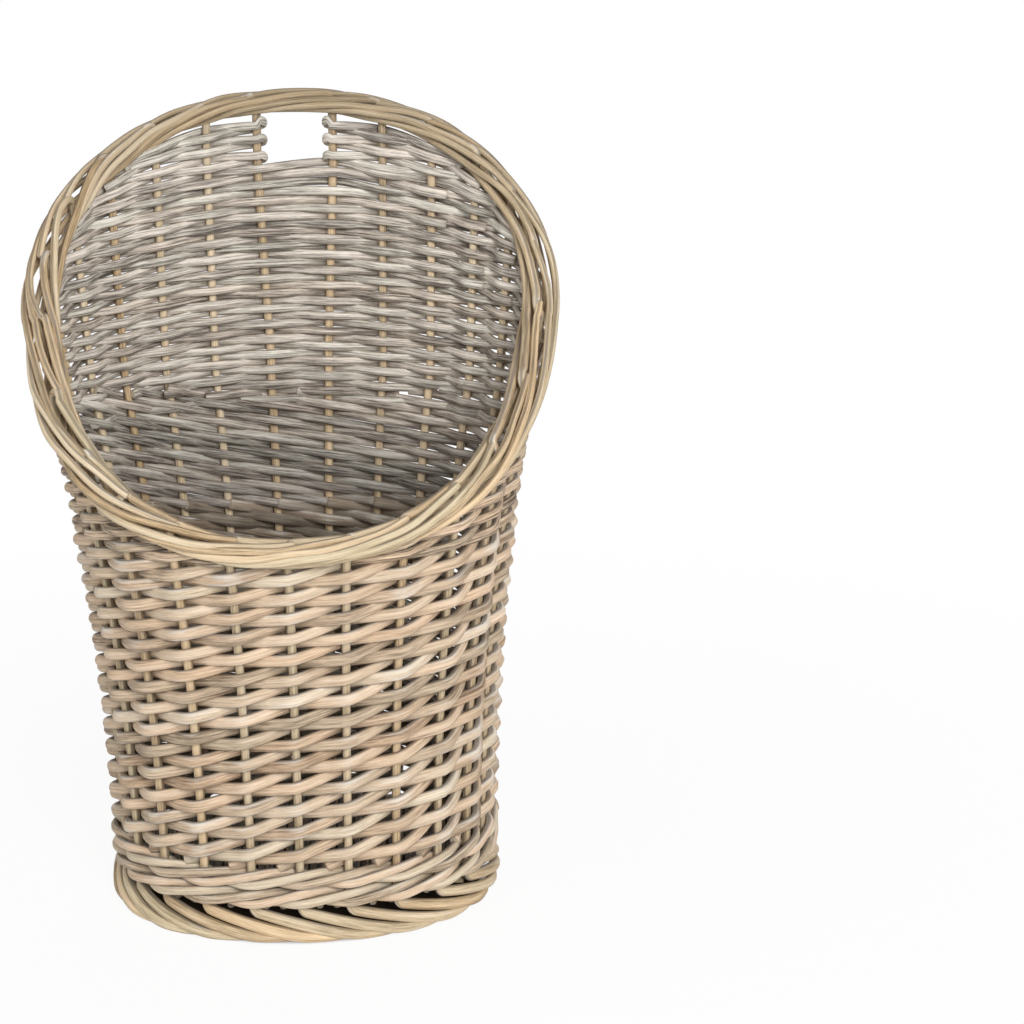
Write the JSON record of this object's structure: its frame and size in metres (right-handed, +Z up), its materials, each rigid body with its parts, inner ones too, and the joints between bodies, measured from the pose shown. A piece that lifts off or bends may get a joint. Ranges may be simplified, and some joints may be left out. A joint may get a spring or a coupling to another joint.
{
  "type": "wall basket",
  "caption": "Tall-backed willow wall basket with a slanted rolled rim, a hanging hole in the back and a flat-standing plaited foot.",
  "frame": {"origin": "on the ground, under the middle of the whole basket", "axes": "+Z up, +Y towards the tall back, -Y towards the low front"},
  "size_m": [0.3118, 0.2484, 0.4681],
  "materials": {
    "stake": "peeled straw-coloured willow, dull",
    "wale": "peeled willow with a pale wash, dull",
    "weaver": "grey-brown willow with a pale wash, dull",
    "back": "thin grey willow with a pale wash, dull",
    "base": "plain willow, dull"
  },
  "bodies": {
    "root": {"stake_01": "stake", "stake_02": "stake", "stake_03": "stake", "stake_04": "stake", "stake_05": "stake", "stake_06": "stake", "stake_07": "stake", "stake_08": "stake", "stake_09": "stake", "stake_10": "stake", "stake_11": "stake", "stake_12": "stake", "stake_13": "stake", "stake_14": "stake", "stake_15": "stake", "stake_16": "stake", "stake_17": "stake", "stake_18": "stake", "stake_19": "stake", "stake_20": "stake", "stake_21": "stake", "stake_22": "stake", "stake_23": "stake", "stake_24": "stake", "stake_25": "stake", "wale_rod_01": "wale", "wale_rod_02": "wale", "wale_rod_03": "wale", "weaver_01": "weaver", "weaver_02": "weaver", "weaver_03": "weaver", "weaver_04": "weaver", "weaver_05": "weaver", "weaver_06": "weaver", "weaver_07": "weaver", "weaver_08": "weaver", "weaver_09": "weaver", "weaver_10": "weaver", "weaver_11": "weaver", "weaver_12": "weaver", "weaver_13": "weaver", "weaver_14": "weaver", "weaver_15": "weaver", "weaver_16": "weaver", "weaver_17": "weaver", "weaver_18": "weaver", "weaver_19": "weaver", "weaver_20": "weaver", "weaver_21": "weaver", "weaver_22": "weaver", "weaver_23": "weaver", "weaver_24": "weaver", "weaver_25": "weaver", "back_weaver_lower": "back", "back_weaver_upper": "back", "back_weaver_hole_right": "back", "back_weaver_hole_left": "back", "base_mat": "base", "base_stick_01": "base", "base_stick_02": "base"}
  },
  "joints": []
}
